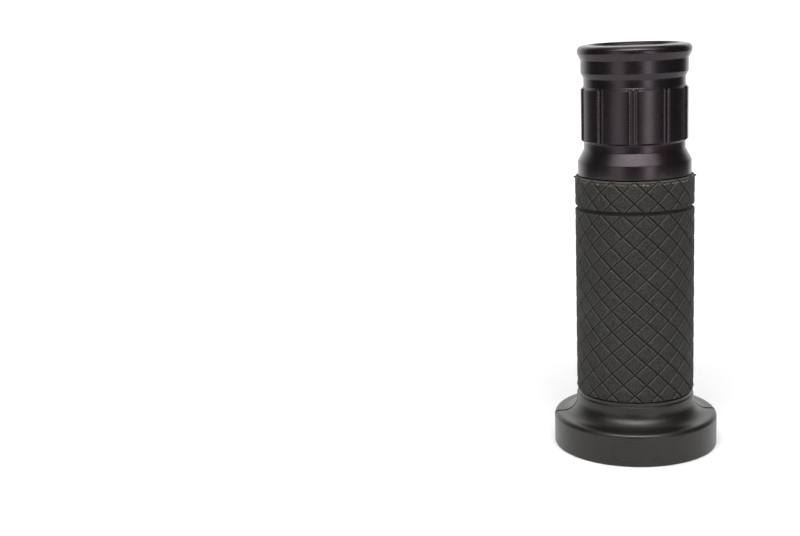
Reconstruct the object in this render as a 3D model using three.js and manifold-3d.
// Motorcycle throttle grip for a 22.2 mm handlebar, in millimetres.
//
// The grip stands on its outboard end: +Z runs along the handlebar towards the middle of the
// motorcycle, the origin is at the centre of the outboard face, and -Y is the front of the grip.
// A thin liner stays on the handlebar. The throttle tube turns on it and carries the rubber
// sleeve, the rubber end flange and the machined collar.

import * as THREE from 'three';
import { mergeVertices } from 'three/addons/utils/BufferGeometryUtils.js';
import Module from 'manifold-3d';

// ---- driving dimensions ----------------------------------------------------------------------

const FACETS = 72; // sides of every turned surface
const SMALL_FACETS = 20; // sides of a screw, its hole or a channel cutter
const CLEARANCE = 0.3; // between pieces that touch on the real grip
const OVERALL_LENGTH = 114.5;

// Liner that stays on the handlebar
const LINER_INNER_R = 11.2;
const LINER_OUTER_R = 11.9;

// Throttle tube, with lengthwise ribs that key the rubber to it
const TUBE_INNER_R = 12.2;
const TUBE_OUTER_R = 13.3;
const TUBE_START_Z = 0.4;
const TUBE_END_Z = 83.2;
const RIB_COUNT = 6;
const RIB_OUTER_R = 14.2;
const RIB_WIDTH = 2.0;
const RIB_START_Z = 1.6;
const RIB_END_Z = 77.4;

// Snap ring in a groove near the outboard end of the tube
const SNAP_RING_INNER_R = 11.5;
const SNAP_RING_OUTER_R = 12.6;
const SNAP_RING_THICKNESS = 1.0;
const SNAP_RING_Z = 1.6;
const SNAP_RING_GAP_ANGLE = 0.5;

// Collar: lip, band, neck, fluted ring, neck, cone and shoulder, turned from one bar
const LIP_R = 15.7;
const LIP_CREST_INNER_R = 12.55;
const LIP_CREST_OUTER_R = 12.95;
const LIP_ROUNDING_R = 1.42;
const LIP_ROUNDING_DROP = 0.22; // the rounding ends this far below the flat crest
const LIP_EDGE_Z = 112.3;
const LIP_BORE_R = 11.5;
const LIP_BORE_CHAMFER_DEPTH = 1.0;
const LIP_THICKNESS = 1.7;
const BAND_R = 14.75;
const BAND_TOP_Z = 110.4;
const BAND_BOTTOM_Z = 106.9;
const NECK_R = 13.98;
const UPPER_NECK_TOP_Z = 105.4;
const UPPER_NECK_BOTTOM_Z = 103.2;
const RING_R = 14.75;
const RING_TOP_Z = 102.4;
const RING_BOTTOM_Z = 88.35;
const LOWER_NECK_TOP_Z = 87.8;
const LOWER_NECK_BOTTOM_Z = 85.7;
const SHOULDER_R = 15.7;
const SHOULDER_TOP_Z = 82.4;
const SHOULDER_BOTTOM_Z = 78.6;
const FLUTE_COUNT = 10;
const FLUTE_DEPTH = 0.45;
const CHANNEL_R = 0.85; // each flute is two round channels side by side
const CHANNEL_OFFSET = 0.62;
const FLUTE_PHASE = THREE.MathUtils.degToRad(-1.2);

// Set screws that lock the collar to the tube, on the rear of the shoulder
const SCREW_R = 1.4;
const SCREW_LENGTH = 2.2;
const SCREW_Z = 80.5;
const SCREW_ANGLES = { set_screw_1: 65, set_screw_2: 115 };
const SCREW_SOCKET_R = 0.75;
const SCREW_SOCKET_DEPTH = 1.1;
const SCREW_SINK = 0.15;

// Rubber sleeve
const SLEEVE_R = 16.5;
const SLEEVE_TOP_Z = 78.3;
const SLEEVE_BOTTOM_Z = 16.4;
const SLEEVE_BEVEL = 0.3;
const SLEEVE_GROOVE_Z = 69.55;
const SLEEVE_GROOVE_WIDTH = 1.7;
const SLEEVE_GROOVE_DEPTH = 0.4;

// Rubber end flange
const FLANGE_R = 23.15;
const FLANGE_TOP_Z = 16.1;
const FLANGE_BOTTOM_ROUND = 0.5;
const FLANGE_EDGE_ROUND = 1.3;
const FLANGE_SHELF_Z = 9.4;
const FLANGE_NECK_R = 16.2;
const FLANGE_RIDGE_R = 16.6;
const FLANGE_RIDGE_Z = 14.8;
const FLANGE_RIDGE_STEP = 0.4;
const FLANGE_FILLET_R = 4.2;

// ---- materials -------------------------------------------------------------------------------

const anodised = new THREE.MeshStandardMaterial({ color: 0x2b272b, roughness: 0.32, metalness: 0.9 });
const sleeveRubber = new THREE.MeshStandardMaterial({ color: 0x3a3a37, roughness: 0.85, metalness: 0 });
const flangeRubber = new THREE.MeshStandardMaterial({ color: 0x373532, roughness: 0.6, metalness: 0 });
const acetal = new THREE.MeshStandardMaterial({ color: 0x1b1b1c, roughness: 0.5, metalness: 0 });
const nylon = new THREE.MeshStandardMaterial({ color: 0x2a2a2b, roughness: 0.6, metalness: 0 });
const blackSteel = new THREE.MeshStandardMaterial({ color: 0x303033, roughness: 0.4, metalness: 1 });

// ---- solids and booleans ---------------------------------------------------------------------

const wasm = await Module();
wasm.setup();

function toSolid(geometry) {
  const bare = geometry.clone();
  bare.deleteAttribute('normal');
  bare.deleteAttribute('uv');
  const merged = mergeVertices(bare, 1e-4);
  return new wasm.Manifold(new wasm.Mesh({
    numProp: 3,
    vertProperties: Float32Array.from(merged.attributes.position.array),
    triVerts: Uint32Array.from(merged.index.array),
  }));
}

function toGeometry(solid) {
  const mesh = solid.getMesh();
  const geometry = new THREE.BufferGeometry();
  geometry.setAttribute('position', new THREE.BufferAttribute(mesh.vertProperties, 3));
  geometry.setIndex(new THREE.BufferAttribute(mesh.triVerts, 1));
  geometry.computeVertexNormals();
  return geometry;
}

// Takes every cutter away from a geometry.
function cut(geometry, cutters) {
  let solid = toSolid(geometry);
  for (const cutter of cutters) {
    solid = solid.subtract(toSolid(cutter));
  }
  return toGeometry(solid);
}

// Joins every extra geometry to the first one.
function join(geometry, extras) {
  let solid = toSolid(geometry);
  for (const extra of extras) {
    solid = solid.add(toSolid(extra));
  }
  return toGeometry(solid);
}

// Turns a closed outline of [radius, z] points about Z. The outline runs up the outside and
// down the bore.
function turned(outline) {
  const points = [...outline, outline[0]].map(([r, z]) => new THREE.Vector2(r, z));
  const geometry = new THREE.LatheGeometry(points, FACETS);
  geometry.rotateX(Math.PI / 2);
  return geometry;
}

// Points of a circular arc in the [radius, z] plane, both ends included.
function arc(centreR, centreZ, radius, startDegrees, endDegrees, steps) {
  const points = [];
  for (let i = 0; i <= steps; i += 1) {
    const angle = THREE.MathUtils.degToRad(startDegrees + ((endDegrees - startDegrees) * i) / steps);
    points.push([centreR + radius * Math.cos(angle), centreZ + radius * Math.sin(angle)]);
  }
  return points;
}

// A rectangular bar along Z at a given radius and angle; the angle is measured from +X to +Y.
function lengthwiseBar(angle, innerR, outerR, width, startZ, endZ) {
  const geometry = new THREE.BoxGeometry(outerR - innerR, width, endZ - startZ);
  geometry.translate((innerR + outerR) / 2, 0, (startZ + endZ) / 2);
  geometry.rotateZ(angle);
  return geometry;
}

// One copy of a shape for each equal step round the grip.
function roundTheGrip(count, phase, makeOne) {
  return Array.from({ length: count }, (_, i) => makeOne(phase + (2 * Math.PI * i) / count));
}

// ---- pieces ----------------------------------------------------------------------------------

function barLiner() {
  const startZ = SNAP_RING_Z + SNAP_RING_THICKNESS + CLEARANCE;
  const endZ = OVERALL_LENGTH - LIP_THICKNESS - CLEARANCE;
  return turned([
    [LINER_OUTER_R, startZ],
    [LINER_OUTER_R, endZ],
    [LINER_INNER_R, endZ],
    [LINER_INNER_R, startZ],
  ]);
}

// The ribs as bars, grown by a clearance when they cut keyways in the rubber.
function ribBars(grow) {
  return roundTheGrip(RIB_COUNT, 0, (angle) => lengthwiseBar(
    angle,
    (TUBE_INNER_R + TUBE_OUTER_R) / 2,
    RIB_OUTER_R + grow,
    RIB_WIDTH + 2 * grow,
    RIB_START_Z - grow,
    RIB_END_Z + grow,
  ));
}

function throttleTube() {
  const grooveR = SNAP_RING_OUTER_R + CLEARANCE;
  const grooveStartZ = SNAP_RING_Z - CLEARANCE;
  const grooveEndZ = SNAP_RING_Z + SNAP_RING_THICKNESS + CLEARANCE;
  const tube = turned([
    [TUBE_OUTER_R, TUBE_START_Z],
    [TUBE_OUTER_R, TUBE_END_Z],
    [TUBE_INNER_R, TUBE_END_Z],
    [TUBE_INNER_R, grooveEndZ],
    [grooveR, grooveEndZ],
    [grooveR, grooveStartZ],
    [TUBE_INNER_R, grooveStartZ],
    [TUBE_INNER_R, TUBE_START_Z],
  ]);
  return cut(join(tube, ribBars(0)), screwHoles());
}

// A C-shaped ring cut from flat steel.
function snapRing() {
  const half = SNAP_RING_GAP_ANGLE / 2;
  const shape = new THREE.Shape();
  shape.absarc(0, 0, SNAP_RING_OUTER_R, half, 2 * Math.PI - half, false);
  shape.absarc(0, 0, SNAP_RING_INNER_R, 2 * Math.PI - half, half, true);
  shape.closePath();
  const geometry = new THREE.ExtrudeGeometry(shape, {
    depth: SNAP_RING_THICKNESS,
    bevelEnabled: false,
    curveSegments: FACETS / 2,
  });
  geometry.translate(0, 0, SNAP_RING_Z);
  return geometry;
}

function collarOutline() {
  const topZ = OVERALL_LENGTH;
  const counterboreR = TUBE_OUTER_R + CLEARANCE;
  const counterboreZ = TUBE_END_Z + CLEARANCE;
  const lipUndersideZ = topZ - LIP_THICKNESS;
  return [
    [SHOULDER_R, SHOULDER_BOTTOM_Z],
    [SHOULDER_R, SHOULDER_TOP_Z],
    [NECK_R, LOWER_NECK_BOTTOM_Z],
    [NECK_R, LOWER_NECK_TOP_Z],
    [RING_R, RING_BOTTOM_Z],
    [RING_R, RING_TOP_Z],
    [NECK_R, UPPER_NECK_BOTTOM_Z],
    [NECK_R, UPPER_NECK_TOP_Z],
    [BAND_R, BAND_BOTTOM_Z],
    [BAND_R, BAND_TOP_Z],
    [LIP_R, LIP_EDGE_Z],
    ...arc(LIP_R - LIP_ROUNDING_R, topZ - LIP_ROUNDING_DROP - LIP_ROUNDING_R, LIP_ROUNDING_R, 0, 82, 6),
    [LIP_CREST_OUTER_R, topZ],
    [LIP_CREST_INNER_R, topZ],
    [LIP_BORE_R, topZ - LIP_BORE_CHAMFER_DEPTH],
    [LIP_BORE_R, lipUndersideZ],
    [TUBE_INNER_R, lipUndersideZ],
    [TUBE_INNER_R, counterboreZ],
    [counterboreR, counterboreZ],
    [counterboreR, SHOULDER_BOTTOM_Z],
  ];
}

// A round cutter along the ring, beside a flute's centre line.
function channelCutter(angle, side) {
  const startZ = LOWER_NECK_TOP_Z - CLEARANCE;
  const endZ = UPPER_NECK_BOTTOM_Z + CLEARANCE;
  const cutter = new THREE.CylinderGeometry(CHANNEL_R, CHANNEL_R, endZ - startZ, SMALL_FACETS);
  cutter.rotateX(Math.PI / 2);
  cutter.translate(RING_R - FLUTE_DEPTH + CHANNEL_R, side * CHANNEL_OFFSET, (startZ + endZ) / 2);
  cutter.rotateZ(angle);
  return cutter;
}

function collar() {
  const channels = roundTheGrip(FLUTE_COUNT, FLUTE_PHASE - Math.PI / 2, (angle) => (
    [-1, 1].map((side) => channelCutter(angle, side))
  ));
  return cut(turned(collarOutline()), [...channels.flat(), ...screwHoles()]);
}

// A cylinder whose axis is a radius of the grip, from one radius to another.
function radialCylinder(degrees, radius, innerR, outerR, sides) {
  const geometry = new THREE.CylinderGeometry(radius, radius, outerR - innerR, sides);
  geometry.rotateZ(-Math.PI / 2);
  geometry.translate((innerR + outerR) / 2, 0, SCREW_Z);
  geometry.rotateZ(THREE.MathUtils.degToRad(degrees));
  return geometry;
}

// Holes through the shoulder that end as dimples in the tube wall.
function screwHoles() {
  const tipR = SHOULDER_R - SCREW_SINK - SCREW_LENGTH;
  return Object.values(SCREW_ANGLES).map((degrees) => radialCylinder(
    degrees,
    SCREW_R + CLEARANCE,
    tipR - CLEARANCE,
    SHOULDER_R + 1,
    SMALL_FACETS,
  ));
}

// A headless screw with a hexagon socket in its outer end.
function setScrew(degrees) {
  const headR = SHOULDER_R - SCREW_SINK;
  const body = radialCylinder(degrees, SCREW_R, headR - SCREW_LENGTH, headR, SMALL_FACETS);
  const socket = radialCylinder(degrees, SCREW_SOCKET_R, headR - SCREW_SOCKET_DEPTH, headR + 1, 6);
  return cut(body, [socket]);
}

function gripSleeve() {
  const boreR = TUBE_OUTER_R + CLEARANCE;
  const grooveHalf = SLEEVE_GROOVE_WIDTH / 2;
  const sleeve = turned([
    [SLEEVE_R - SLEEVE_BEVEL, SLEEVE_BOTTOM_Z],
    [SLEEVE_R, SLEEVE_BOTTOM_Z + SLEEVE_BEVEL],
    [SLEEVE_R, SLEEVE_GROOVE_Z - grooveHalf],
    [SLEEVE_R - SLEEVE_GROOVE_DEPTH, SLEEVE_GROOVE_Z],
    [SLEEVE_R, SLEEVE_GROOVE_Z + grooveHalf],
    [SLEEVE_R, SLEEVE_TOP_Z - SLEEVE_BEVEL],
    [SLEEVE_R - SLEEVE_BEVEL, SLEEVE_TOP_Z],
    [boreR, SLEEVE_TOP_Z],
    [boreR, SLEEVE_BOTTOM_Z],
  ]);
  return cut(sleeve, ribBars(CLEARANCE));
}

function endFlange() {
  const boreR = TUBE_OUTER_R + CLEARANCE;
  const filletCentreR = FLANGE_RIDGE_R + FLANGE_FILLET_R;
  const filletCentreZ = FLANGE_SHELF_Z + FLANGE_FILLET_R;
  const roundCentreR = FLANGE_R - FLANGE_EDGE_ROUND;
  const bottomCentreR = FLANGE_R - FLANGE_BOTTOM_ROUND;
  const flange = turned([
    ...arc(bottomCentreR, FLANGE_BOTTOM_ROUND, FLANGE_BOTTOM_ROUND, -90, 0, 3),
    ...arc(roundCentreR, FLANGE_SHELF_Z - FLANGE_EDGE_ROUND, FLANGE_EDGE_ROUND, 0, 90, 6),
    ...arc(filletCentreR, filletCentreZ, FLANGE_FILLET_R, 270, 180, 8),
    [FLANGE_RIDGE_R, FLANGE_RIDGE_Z],
    [FLANGE_NECK_R, FLANGE_RIDGE_Z + FLANGE_RIDGE_STEP],
    [FLANGE_NECK_R, FLANGE_TOP_Z],
    [boreR, FLANGE_TOP_Z],
    [boreR, 0],
  ]);
  return cut(flange, ribBars(CLEARANCE));
}

// ---- assembly --------------------------------------------------------------------------------

function named(name, geometry, material) {
  const mesh = new THREE.Mesh(geometry, material);
  mesh.name = name;
  return mesh;
}

const onHandlebar = new THREE.Group();
onHandlebar.add(named('bar_liner', barLiner(), acetal));

const turning = new THREE.Group();
turning.add(named('throttle_tube', throttleTube(), nylon));
turning.add(named('snap_ring', snapRing(), blackSteel));
turning.add(named('collar', collar(), anodised));
turning.add(named('grip_sleeve', gripSleeve(), sleeveRubber));
turning.add(named('end_flange', endFlange(), flangeRubber));
for (const [name, degrees] of Object.entries(SCREW_ANGLES)) {
  turning.add(named(name, setScrew(degrees), blackSteel));
}

const group = new THREE.Group();
group.add(onHandlebar, turning);

export default group;
